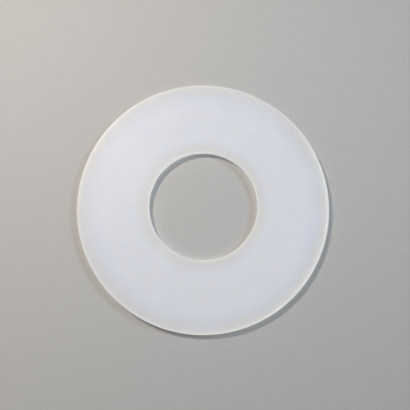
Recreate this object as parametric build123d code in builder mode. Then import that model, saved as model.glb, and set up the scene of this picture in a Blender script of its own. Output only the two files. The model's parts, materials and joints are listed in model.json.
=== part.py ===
"""Flat washer: one thin plain ring cut from natural, undyed plastic sheet.

Frame: millimetres, +Z up. The origin is on the bore's axis at the underside,
so the ring lies flat on the XY plane and its seating face looks up.
"""

import os

from build123d import *

# Driving dimensions.
outer_diameter = 50.0
bore_diameter = 21.5
thickness = 1.5

# The cutting die rolls the sheet over a little where it enters, on the upper face.
# It leaves a crisper edge where it breaks through, on the underside.
upper_edge_radius = 0.16
lower_edge_radius = 0.08


with BuildPart() as washer_ring:
    with BuildSketch(Plane.XY):
        Circle(outer_diameter / 2)
        Circle(bore_diameter / 2, mode=Mode.SUBTRACT)
    extrude(amount=thickness)

    # Each flat face is bounded by two circles: the rim's and the bore's.
    upper_edges = washer_ring.faces().sort_by(Axis.Z)[-1].edges()
    fillet(upper_edges, radius=upper_edge_radius)
    lower_edges = washer_ring.faces().sort_by(Axis.Z)[0].edges()
    fillet(lower_edges, radius=lower_edge_radius)

washer_ring.part.label = "washer_ring"

os.makedirs("parts", exist_ok=True)
export_step(washer_ring.part, "parts/washer_ring.step")
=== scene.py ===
"""Looks for the flat washer: one ring of milky, undyed plastic, die-cut from sheet.

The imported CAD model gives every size. The ring is rebuilt as a fine mesh with the marks
that the cutting die leaves, inside the CAD model's box, and lies on a plain pale floor.
"""

import json
import math
from types import SimpleNamespace

import bpy
from mathutils import Matrix, Vector, noise


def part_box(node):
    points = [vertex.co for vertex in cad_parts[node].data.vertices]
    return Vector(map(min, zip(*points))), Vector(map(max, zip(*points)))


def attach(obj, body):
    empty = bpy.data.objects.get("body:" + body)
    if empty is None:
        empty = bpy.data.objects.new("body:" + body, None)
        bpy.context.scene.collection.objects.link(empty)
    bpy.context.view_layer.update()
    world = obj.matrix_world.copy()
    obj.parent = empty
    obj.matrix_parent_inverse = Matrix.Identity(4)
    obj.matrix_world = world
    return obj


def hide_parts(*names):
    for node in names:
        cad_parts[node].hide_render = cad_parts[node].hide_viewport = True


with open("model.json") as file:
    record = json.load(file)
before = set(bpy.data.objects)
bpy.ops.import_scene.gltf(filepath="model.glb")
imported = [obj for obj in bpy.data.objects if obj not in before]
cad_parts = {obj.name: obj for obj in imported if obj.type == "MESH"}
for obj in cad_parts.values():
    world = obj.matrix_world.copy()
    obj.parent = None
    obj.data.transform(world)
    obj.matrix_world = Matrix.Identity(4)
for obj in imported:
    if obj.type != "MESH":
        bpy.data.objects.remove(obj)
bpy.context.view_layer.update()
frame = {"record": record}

MM = 0.001

# ---------------------------------------------------------------- sizes, from the frame

NODE = "washer_ring"
LOW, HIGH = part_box(NODE)
OUTER_R = min(-LOW.x, -LOW.y, HIGH.x, HIGH.y)
THICK = HIGH.z
BORE = next(m for m in frame["record"]["mounts"] if m["name"] == "bore")
BORE_R = BORE["dims"]["r_mm"] * MM

# ---------------------------------------------------------------- the ring's cut section

# The die rolls the sheet over where it enters, and leaves a crisp edge where it leaves.
# Each roll has a width along the face and a depth down the wall.
UPPER_ROLL = (0.20 * MM, 0.11 * MM)
LOWER_ROLL = (0.06 * MM, 0.06 * MM)
# Below its shiny sheared band, the cut wall tears and leans back into the plastic. The
# height where the tear starts wanders, from its least share up by its range.
TEAR_START = 0.42 * THICK
TEAR_LEAN = 0.045 * MM
TEAR_LEAST, TEAR_RANGE = 0.7, 0.6

# How many quads each stretch of the section has, and how many the ring has all round.
FACE_LOOPS = 20
UNDER_LOOPS = 8
WALL_LOOPS = 9
ROLL_LOOPS = 6
TURNS = 1200

# How far the surfaces wander, always into the plastic, and over what distance. The roll's
# wave is a share of its depth.
FACE_WAVE, FACE_WAVE_LENGTH = 0.016 * MM, 9 * MM
UNDER_WAVE, UNDER_WAVE_LENGTH = 0.020 * MM, 12 * MM
WALL_WAVE, WALL_WAVE_LENGTH = 0.010 * MM, 0.9 * MM
ROLL_WAVE, ROLL_WAVE_LENGTH = 0.12, 5 * MM
TEAR_WAVE_LENGTH = 2.2 * MM
# The underside's waves die away this far from the cut edges.
UNDER_WAVE_FADE = 1.2 * MM
# The wall's noise sees only this share of the height, which draws it out into drag lines.
DRAG_SQUASH = 0.15
# Each wave reads the noise at its own offset.
FACE_SEED, UNDER_SEED, WALL_SEED, ROLL_SEED, TEAR_SEED = 1.3, 8.1, 5.9, 3.7, 12.4


def rolled_edge(wall_r, face_z, roll, into, up, loops):
    """A quarter of an ellipse from a flat face to a cut wall.

    into is +1 where the plastic lies towards larger radii and -1 towards smaller ones,
    and up is +1 on the upper face. The points run from the face to the wall.
    """
    wide, deep = roll
    points = []
    for step in range(loops + 1):
        turn = math.radians(90) * step / loops
        r = wall_r + into * wide * (1 - math.sin(turn))
        z = face_z - up * deep * (1 - math.cos(turn))
        points.append((r, z))
    return points


def between(start, end, loops):
    """Evenly spaced points inside the straight run from start to end, ends left out."""
    points = []
    for step in range(1, loops):
        share = step / loops
        r = start[0] + (end[0] - start[0]) * share
        z = start[1] + (end[1] - start[1]) * share
        points.append((r, z))
    return points


def section():
    """The ring's cross-section as one closed loop of (radius, height)."""
    rim_upper = rolled_edge(OUTER_R, THICK, UPPER_ROLL, -1, 1, ROLL_LOOPS)
    rim_lower = rolled_edge(OUTER_R, 0, LOWER_ROLL, -1, -1, ROLL_LOOPS)[::-1]
    bore_lower = rolled_edge(BORE_R, 0, LOWER_ROLL, 1, -1, ROLL_LOOPS)
    bore_upper = rolled_edge(BORE_R, THICK, UPPER_ROLL, 1, 1, ROLL_LOOPS)[::-1]
    return [
        *rim_upper,
        *between(rim_upper[-1], rim_lower[0], WALL_LOOPS),
        *rim_lower,
        *between(rim_lower[-1], bore_lower[0], UNDER_LOOPS),
        *bore_lower,
        *between(bore_lower[-1], bore_upper[0], WALL_LOOPS),
        *bore_upper,
        *between(bore_upper[-1], rim_upper[0], FACE_LOOPS),
    ]


def smooth(low, high, value):
    """0 below low, 1 above high, and an even curve between."""
    share = min(max((value - low) / (high - low), 0), 1)
    return share * share * (3 - 2 * share)


def wander(place, length, seed):
    """Smooth noise from 0 to 1 with lumps of about that length."""
    offset = Vector((seed, -seed, seed * 0.5))
    return min(max(0.5 + 0.5 * noise.noise(place / length + offset), 0), 1)


def worked(r, z, turn):
    """Where a point of the section really lies at this turn, with the marks of its making."""
    around = Vector((math.cos(turn), math.sin(turn), 0))
    place = around * r
    to_rim, to_bore = OUTER_R - r, r - BORE_R
    near_wall = min(to_rim, to_bore)
    into = 1 if to_bore < to_rim else -1
    on_wall = 1 - smooth(0, UPPER_ROLL[0], near_wall)

    # The sheet isn't quite flat, and the roll at its edge is deeper in some places.
    upper = smooth(0.5 * THICK, THICK, z)
    under = 1 - smooth(0, 0.5 * THICK, z)
    roll_more = ROLL_WAVE * wander(place, ROLL_WAVE_LENGTH, ROLL_SEED) * UPPER_ROLL[1]
    dip = FACE_WAVE * wander(place, FACE_WAVE_LENGTH, FACE_SEED) + roll_more * on_wall
    rise = UNDER_WAVE * wander(place, UNDER_WAVE_LENGTH, UNDER_SEED)
    rise *= smooth(0, UNDER_WAVE_FADE, near_wall)
    height = z - upper * dip + under * rise

    # Drag lines run down the cut wall, and its lower part leans back where it tore.
    wall_place = around * r + Vector((0, 0, z * DRAG_SQUASH))
    drag = WALL_WAVE * wander(wall_place, WALL_WAVE_LENGTH, WALL_SEED)
    tear_share = TEAR_LEAST + TEAR_RANGE * wander(place, TEAR_WAVE_LENGTH, TEAR_SEED)
    start = TEAR_START * tear_share
    lean = TEAR_LEAN * smooth(0, start, start - z)
    radius = r + into * on_wall * (drag + lean)
    return around * radius + Vector((0, 0, height))


def skin(name, points, faces):
    """A smooth-shaded mesh."""
    mesh = bpy.data.meshes.new(name)
    mesh.from_pydata(points, [], faces)
    mesh.shade_smooth()
    mesh.update()
    return mesh


def ring_mesh(name):
    """The whole ring, as one closed skin of quads."""
    outline = section()
    count = len(outline)
    points = []
    for step in range(TURNS):
        turn = math.tau * step / TURNS
        points += [worked(r, z, turn) for r, z in outline]
    faces = []
    for step in range(TURNS):
        here, there = step * count, (step + 1) % TURNS * count
        for i in range(count):
            j = (i + 1) % count
            faces.append((here + i, here + j, there + j, there + i))
    return skin(name, points, faces)


# ---------------------------------------------------------------- material helpers

# How deep a bump of full strength goes.
RELIEF = 0.02 * MM


def add(tree, kind, inputs=None, **settings):
    """A new node. Each input is a value, or the socket that feeds it."""
    made = tree.nodes.new(kind)
    for name, value in settings.items():
        setattr(made, name, value)
    for key, value in (inputs or {}).items():
        if isinstance(value, bpy.types.NodeSocket):
            tree.links.new(value, made.inputs[key])
        else:
            made.inputs[key].default_value = value
    return made


def calc(tree, operation, *values):
    """The result of one Math node."""
    inputs = dict(enumerate(values))
    return add(tree, "ShaderNodeMath", inputs, operation=operation).outputs[0]


def vector_calc(tree, operation, inputs, output=0):
    """One result of a Vector Math node."""
    return add(tree, "ShaderNodeVectorMath", inputs, operation=operation).outputs[output]


def lumps(tree, place, size, detail=2.0, rough=0.5, stretch=(1, 1, 1), shift=(0, 0, 0)):
    """Noise from 0 to 1 whose lumps are about size across, in the units of place.

    stretch squeezes place along each axis, and shift keeps one noise apart from another.
    """
    scale = Vector(stretch) / size
    mapping = {"Vector": place, "Scale": scale, "Location": shift}
    moved = add(tree, "ShaderNodeMapping", mapping).outputs[0]
    inputs = {"Vector": moved, "Scale": 1.0, "Detail": detail, "Roughness": rough}
    return add(tree, "ShaderNodeTexNoise", inputs).outputs["Fac"]


def ease(tree, value, low, high, to_low=0.0, to_high=1.0):
    """value carried from low..high to to_low..to_high along an even curve."""
    inputs = {"Value": value, 1: low, 2: high, 3: to_low, 4: to_high}
    made = add(tree, "ShaderNodeMapRange", inputs, interpolation_type="SMOOTHSTEP")
    return made.outputs[0]


def blend(tree, share, first, second):
    """first where the socket share is 0 and second where it is 1, as colours."""
    made = add(tree, "ShaderNodeMix", {0: share}, data_type="RGBA")
    for key, value in ((6, first), (7, second)):
        if isinstance(value, bpy.types.NodeSocket):
            tree.links.new(value, made.inputs[key])
        else:
            made.inputs[key].default_value = (*value, 1)
    return made.outputs[2]


def bump(tree, height, strength, **under):
    """Normals with a relief of that height. Normal=socket lays it over another relief."""
    inputs = {"Height": height, "Strength": strength, "Distance": RELIEF, **under}
    return add(tree, "ShaderNodeBump", inputs).outputs[0]


def new_material(name):
    """A material with an empty tree, its surface shader and the shader's tree."""
    material = bpy.data.materials.new(name)
    material.use_nodes = True
    tree = material.node_tree
    tree.nodes.clear()
    shader = add(tree, "ShaderNodeBsdfPrincipled")
    add(tree, "ShaderNodeOutputMaterial", {"Surface": shader.outputs[0]})
    return material, shader, tree


# ---------------------------------------------------------------- the milky plastic

CORE_COLOUR = (0.815, 0.845, 0.952)
BAND_COLOUR = (0.800, 0.800, 0.797)
# Whiter where the plastic is cut, and also a painted highlight along the cut edges.
CUT_AND_HIGHLIGHT_COLOUR = (0.945, 0.932, 0.910)
# Whiter on the bore's cut wall, and also a painted glow there, as if lit through the plastic.
CUT_WALL_WHITE_AND_GLOW = (0.985, 0.98, 0.97)
SPECK_COLOUR = (0.93, 0.93, 0.92)

# Places in the plastic are in millimetres, and so are these. A pair of them says where a
# change begins and where it is over: from an edge inwards, or from the top face down.
TOP = THICK / MM
NEUTRAL_BAND = (0.0, 3.6)
# Where the cut edges turn white and a highlight is painted on them.
RIM_CUT_AND_HIGHLIGHT = (0.20, 0.72)
BORE_CUT_AND_HIGHLIGHT = (0.06, 0.36)
# The two greyer bands of painted shade, beside the rim and beside the bore.
RIM_PAINTED_SHADE_SPAN = (0.8, 5.5)
BORE_PAINTED_SHADE_SPAN = (0.5, 2.6)
BORE_SKIN = (0.03, 0.12)
RIM_TOP = (0.06, 0.20)
BORE_TOP = (0.08, 0.35)
# What is left of the light in the two greyer bands of painted shade.
PAINTED_SHADE_KEEPS = 0.92
# How white the cut is, with a painted highlight on it: on the rim's rolled top edge, and on the
# bore's upper edge.
UPPER_RIM_CUT_AND_HIGHLIGHT = 0.55
BORE_EDGE_CUT_AND_HIGHLIGHT = 0.40

CLOUD_SIZE, GRAIN_SIZE, DRAG_SIZE, PEEL_SIZE = 7.0, 0.55, 0.22, 1.6
# The noise values between which the clouds and the grain go from their least to their most.
CLOUD_RANGE, GRAIN_RANGE = (0.3, 0.7), (0.25, 0.75)
# How much they darken and brighten the colour.
CLOUDY, GRAINY = (0.990, 1.006), (0.990, 1.008)
# The bluish core's border wavers by this much either way.
WAVERING = 0.6

# Specks sit in cells of the plastic, so many to the millimetre along a line.
SPECK_CELLS = 0.28
# A speck's soft edge, in cells.
SPECK_EDGE = (0.02, 0.09)
# The share of the cells that hold no speck, and how strongly the others show theirs.
SPECKLESS = 0.72
SPECK_STRENGTH = 0.70

# The roughness across the clouds, what the grain adds or takes, and what a cut adds.
SATIN = (0.40, 0.47)
GRAIN_ROUGH = 0.04
CUT_ROUGH = 0.10
# The bumps' strengths, and how far the drag lines are drawn out down the wall.
GRAIN_BUMP, PEEL_BUMP, DRAG_BUMP = 0.10, 0.20, 0.35
DRAG_STRETCH = (1, 1, 0.08)

# Light goes a little way into the plastic, red further than blue.
LIGHT_DEPTH = 3.0 * MM
DEPTH_BY_COLOUR = (1.0, 0.88, 0.72)


def ring_fields(tree):
    """What the looks depend on: the place and its distances in millimetres, and two noises."""
    coordinates = add(tree, "ShaderNodeTexCoord").outputs["Object"]
    place = vector_calc(tree, "SCALE", {0: coordinates, "Scale": 1 / MM})
    flat = vector_calc(tree, "MULTIPLY", {0: place, 1: (1, 1, 0)})
    radius = vector_calc(tree, "LENGTH", {0: flat}, "Value")
    return SimpleNamespace(
        place=place,
        height=add(tree, "ShaderNodeSeparateXYZ", {0: place}).outputs["Z"],
        to_rim=calc(tree, "SUBTRACT", OUTER_R / MM, radius),
        to_bore=calc(tree, "SUBTRACT", radius, BORE_R / MM),
        clouds=lumps(tree, place, CLOUD_SIZE, detail=3.0, rough=0.55),
        grain=lumps(tree, place, GRAIN_SIZE, detail=3.0, rough=0.6, shift=(4, 9, 2)),
    )


def cut_and_painted_highlight(tree, ring):
    """How white the plastic has gone at its two cut edges, with a painted rim highlight there,
    from 0 to 1.
    """
    at_rim = ease(tree, ring.to_rim, *RIM_CUT_AND_HIGHLIGHT, 1.0, 0.0)
    below_top = ease(tree, ring.height, TOP - RIM_TOP[1], TOP - RIM_TOP[0], 1.0, UPPER_RIM_CUT_AND_HIGHLIGHT)
    rim_share = calc(tree, "MULTIPLY", at_rim, below_top)
    bore_share = ease(tree, ring.to_bore, *BORE_CUT_AND_HIGHLIGHT, BORE_EDGE_CUT_AND_HIGHLIGHT, 0.0)
    return calc(tree, "MAXIMUM", rim_share, bore_share)


def milky_colour(tree, ring, white):
    """A bluish core that turns neutral towards the edges, then white where it is cut and a rim
    highlight is painted.
    """
    to_cut = calc(tree, "MINIMUM", ring.to_rim, ring.to_bore)
    wavering = calc(tree, "MULTIPLY_ADD", ring.clouds, 2 * WAVERING, -WAVERING)
    core_share = ease(tree, calc(tree, "ADD", to_cut, wavering), *NEUTRAL_BAND)
    body = blend(tree, core_share, BAND_COLOUR, CORE_COLOUR)
    # Painted highlight: the cut edges get a whiter colour, partly real cut whitening.
    return blend(tree, white, body, CUT_AND_HIGHLIGHT_COLOUR)


def tone_and_painted_edge_shade(tree, ring):
    """Faint clouds and grain, and a painted shade: a greyer band beside each cut edge, where
    light leaks out.
    """
    cloudy = ease(tree, ring.clouds, *CLOUD_RANGE, *CLOUDY)
    grainy = ease(tree, ring.grain, *GRAIN_RANGE, *GRAINY)
    # Painted shade: the colour is darker in a band beside each cut edge.
    rim_painted_shade = ease(tree, ring.to_rim, *RIM_PAINTED_SHADE_SPAN, PAINTED_SHADE_KEEPS, 1.0)
    bore_painted_shade = ease(tree, ring.to_bore, *BORE_PAINTED_SHADE_SPAN, PAINTED_SHADE_KEEPS, 1.0)
    edge_painted_shade = calc(tree, "MULTIPLY", rim_painted_shade, bore_painted_shade)
    return calc(tree, "MULTIPLY", calc(tree, "MULTIPLY", cloudy, grainy), edge_painted_shade)


def bore_glow_share(tree, ring):
    """Where the bore's cut wall is whiter and a glow is painted on it: 1 on the wall, below its
    upper edge, and 0 elsewhere.
    """
    in_bore = ease(tree, ring.to_bore, *BORE_SKIN, 1.0, 0.0)
    below_edge = ease(tree, ring.height, TOP - BORE_TOP[1], TOP - BORE_TOP[0], 1.0, 0.0)
    return calc(tree, "MULTIPLY", in_bore, below_edge)


def specks(tree, ring):
    """How strongly a pale speck shows: a few are held in the plastic."""
    inputs = {"Vector": ring.place, "Scale": SPECK_CELLS, "Randomness": 1.0}
    cells = add(tree, "ShaderNodeTexVoronoi", inputs)
    dot = ease(tree, cells.outputs["Distance"], *SPECK_EDGE, 1.0, 0.0)
    pick = add(tree, "ShaderNodeSeparateColor", {0: cells.outputs["Color"]}).outputs["Red"]
    chosen = calc(tree, "GREATER_THAN", pick, SPECKLESS)
    return calc(tree, "MULTIPLY", calc(tree, "MULTIPLY", dot, chosen), SPECK_STRENGTH)


def satin_roughness(tree, ring, white):
    """A satin that varies with the clouds and the grain, and is duller at the cut edges."""
    satin = ease(tree, ring.clouds, *CLOUD_RANGE, *SATIN)
    cut = calc(tree, "MULTIPLY", white, CUT_ROUGH)
    fine = calc(tree, "MULTIPLY_ADD", ring.grain, 2 * GRAIN_ROUGH, -GRAIN_ROUGH)
    return calc(tree, "ADD", calc(tree, "ADD", satin, cut), fine)


def surface_relief(tree, ring, white):
    """Grain, a slight orange peel, and drag lines where the plastic is cut."""
    peel = lumps(tree, ring.place, PEEL_SIZE, shift=(7, 1, 3))
    drag = lumps(tree, ring.place, DRAG_SIZE, stretch=DRAG_STRETCH)
    cut_drag = calc(tree, "MULTIPLY", drag, white)
    grain_relief = bump(tree, ring.grain, GRAIN_BUMP)
    peel_relief = bump(tree, peel, PEEL_BUMP, Normal=grain_relief)
    return bump(tree, cut_drag, DRAG_BUMP, Normal=peel_relief)


def natural_plastic():
    """Undyed plastic sheet: bluish and milky within, more neutral and whiter where it is cut,
    with a painted highlight on the cut edges, a painted glow on the bore wall and a painted
    shade beside each edge.
    """
    material, shader, tree = new_material("natural_plastic")
    ring = ring_fields(tree)
    # The share of the whiter cut colour and painted rim highlight.
    white = cut_and_painted_highlight(tree, ring)
    coloured = milky_colour(tree, ring, white)
    dimmed = vector_calc(tree, "SCALE", {0: coloured, "Scale": tone_and_painted_edge_shade(tree, ring)})
    # Painted glow: the bore's wall gets a whiter colour, as if lit through the plastic.
    shaded = blend(tree, bore_glow_share(tree, ring), dimmed, CUT_WALL_WHITE_AND_GLOW)
    speckled = blend(tree, specks(tree, ring), shaded, SPECK_COLOUR)
    tree.links.new(speckled, shader.inputs["Base Color"])
    tree.links.new(satin_roughness(tree, ring, white), shader.inputs["Roughness"])
    tree.links.new(surface_relief(tree, ring, white), shader.inputs["Normal"])

    shader.subsurface_method = "RANDOM_WALK"
    shader.inputs["Subsurface Weight"].default_value = 1.0
    shader.inputs["Subsurface Radius"].default_value = DEPTH_BY_COLOUR
    shader.inputs["Subsurface Scale"].default_value = LIGHT_DEPTH
    shader.inputs["IOR"].default_value = 1.5
    return material


# ---------------------------------------------------------------- floor, light, camera

# The floor is flat under the ring, and curves up all round into a low wall that glows softly.
FLAT_R = 280 * MM
FLAT_LOOPS = 6
COVE_R = 220 * MM
COVE_LOOPS = 12
WALL_TOP = 450 * MM
FLOOR_TURNS = 96
CARD_DARK, CARD_LIGHT = (0.605, 0.60, 0.59), (0.635, 0.63, 0.62)
CARD_MOTTLE = 1.2 * MM
# The glow starts outside the ring, and is at full strength where the curve begins to rise.
GLOW_FROM, GLOW_TO = 60 * MM, 360 * MM
GLOW_COLOUR = (1.0, 0.985, 0.965)
GLOW = 0.27

SURROUND_COLOUR = (0.90, 0.95, 1.0)
SURROUND = 0.02


def placed(name, data):
    """A new object in the scene."""
    made = bpy.data.objects.new(name, data)
    bpy.context.scene.collection.objects.link(made)
    return made


def cove_profile():
    """The studio floor's section, from near its centre out and up, as (radius, height)."""
    points = [(FLAT_R * step / FLAT_LOOPS, 0) for step in range(1, FLAT_LOOPS + 1)]
    for step in range(1, COVE_LOOPS + 1):
        turn = math.radians(90) * step / COVE_LOOPS
        r = FLAT_R + COVE_R * math.sin(turn)
        points.append((r, COVE_R * (1 - math.cos(turn))))
    points.append((FLAT_R + COVE_R, WALL_TOP))
    return points


def cove_mesh():
    """The cove's section, turned about the ring's axis, with one point at its centre."""
    profile = cove_profile()
    count = len(profile)
    points = [(0, 0, 0)]
    for step in range(FLOOR_TURNS):
        turn = math.tau * step / FLOOR_TURNS
        points += [(r * math.cos(turn), r * math.sin(turn), z) for r, z in profile]
    faces = []
    for step in range(FLOOR_TURNS):
        here = 1 + step * count
        there = 1 + (step + 1) % FLOOR_TURNS * count
        faces.append((0, here, there))
        for i in range(count - 1):
            faces.append((here + i, here + i + 1, there + i + 1, there + i))
    return skin("floor", points, faces)


def floor_card():
    """Matt, faintly mottled card that glows more and more away from the ring."""
    material, shader, tree = new_material("floor_card")
    place = add(tree, "ShaderNodeTexCoord").outputs["Object"]
    mottle = lumps(tree, place, CARD_MOTTLE, detail=4.0, rough=0.6)
    colour = blend(tree, mottle, CARD_DARK, CARD_LIGHT)
    tree.links.new(colour, shader.inputs["Base Color"])
    shader.inputs["Roughness"].default_value = 0.75
    shader.inputs["Specular IOR Level"].default_value = 0.0
    away = vector_calc(tree, "LENGTH", {0: place}, "Value")
    glow = ease(tree, away, GLOW_FROM, GLOW_TO, 0.0, GLOW)
    tree.links.new(glow, shader.inputs["Emission Strength"])
    shader.inputs["Emission Color"].default_value = (*GLOW_COLOUR, 1)
    # The glow is too wide and soft to need its own light samples.
    material.cycles.emission_sampling = "NONE"
    return material


def pale_floor():
    """A round sheet of pale card that curves up into a wall, with no edge in any view."""
    floor = placed("floor", cove_mesh())
    floor.data.materials.append(floor_card())
    return floor


def soft_surround():
    """An even, pale world that fills the shadows."""
    world = bpy.data.worlds.new("surround")
    world.use_nodes = True
    background = world.node_tree.nodes["Background"]
    background.inputs["Color"].default_value = (*SURROUND_COLOUR, 1)
    background.inputs["Strength"].default_value = SURROUND
    bpy.context.scene.world = world


def softbox(name, azimuth, zenith, distance, size, watts, colour, cone=180):
    """A round lamp aimed at the ring's centre, from that azimuth about +X and zenith angle.

    cone is the whole angle that it shines into. All three angles are in degrees.
    """
    lamp = bpy.data.lights.new(name, "AREA")
    lamp.shape = "DISK"
    lamp.size = size
    lamp.energy = watts
    lamp.color = colour
    lamp.spread = math.radians(cone)
    turn, lean = math.radians(azimuth), math.radians(zenith)
    across = math.sin(lean)
    way = Vector((math.cos(turn) * across, math.sin(turn) * across, math.cos(lean)))
    light = placed(name, lamp)
    light.location = way * distance
    light.rotation_mode = "QUATERNION"
    light.rotation_quaternion = (-way).to_track_quat("-Z", "Y")
    light.visible_camera = False
    return light


def light_only(light, piece):
    """Lets a lamp light that piece alone, and keeps it out of every reflection."""
    lit = bpy.data.collections.new(light.name + "_lights")
    lit.objects.link(piece)
    light.light_linking.receiver_collection = lit
    light.visible_glossy = False


def studio_lights(piece):
    """A warm key, a cool side light, and two low lamps for the piece's cut walls."""
    softbox(
        "key", azimuth=137, zenith=38, distance=180 * MM, size=40 * MM,
        watts=0.172, colour=(1.0, 0.902, 0.805),
    )
    softbox(
        "right", azimuth=18, zenith=48, distance=280 * MM, size=90 * MM,
        watts=0.041, colour=(0.61, 0.81, 1.0), cone=80,
    )
    # The low lamps would leave a bright patch on the floor, so they light the piece alone.
    low_right = softbox(
        "low_right", azimuth=328, zenith=68, distance=300 * MM, size=120 * MM,
        watts=0.33, colour=(1.0, 0.93, 0.84),
    )
    low_left = softbox(
        "low_left", azimuth=246, zenith=79, distance=300 * MM, size=80 * MM,
        watts=0.20, colour=(0.86, 0.94, 1.0),
    )
    light_only(low_right, piece)
    light_only(low_left, piece)


def picture_camera():
    """Nearly overhead, leaning to the ring's near side, as close as a phone is held."""
    lens = bpy.data.cameras.new("camera")
    lens.sensor_width = 36.0
    lens.lens = 43.9
    lens.clip_start = 1 * MM
    near_lean, side_lean = math.radians(8.25), math.radians(-0.67)
    turned = Matrix.Rotation(near_lean, 4, "X") @ Matrix.Rotation(side_lean, 4, "Y")
    # The picture's middle is a little off the ring's.
    aim = Vector((0.0139, 0.0143, 0)) * OUTER_R
    distance = 4.026 * OUTER_R
    back = turned @ Vector((0, 0, 1))
    camera = placed("camera", lens)
    camera.matrix_world = Matrix.Translation(aim + back * distance) @ turned
    bpy.context.scene.camera = camera


# ---------------------------------------------------------------- the scene

washer = placed("washer", ring_mesh("washer"))
washer.data.materials.append(natural_plastic())
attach(washer, "root")
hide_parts(NODE)

pale_floor()
soft_surround()
studio_lights(washer)
picture_camera()
bpy.context.scene.view_settings.view_transform = "Standard"
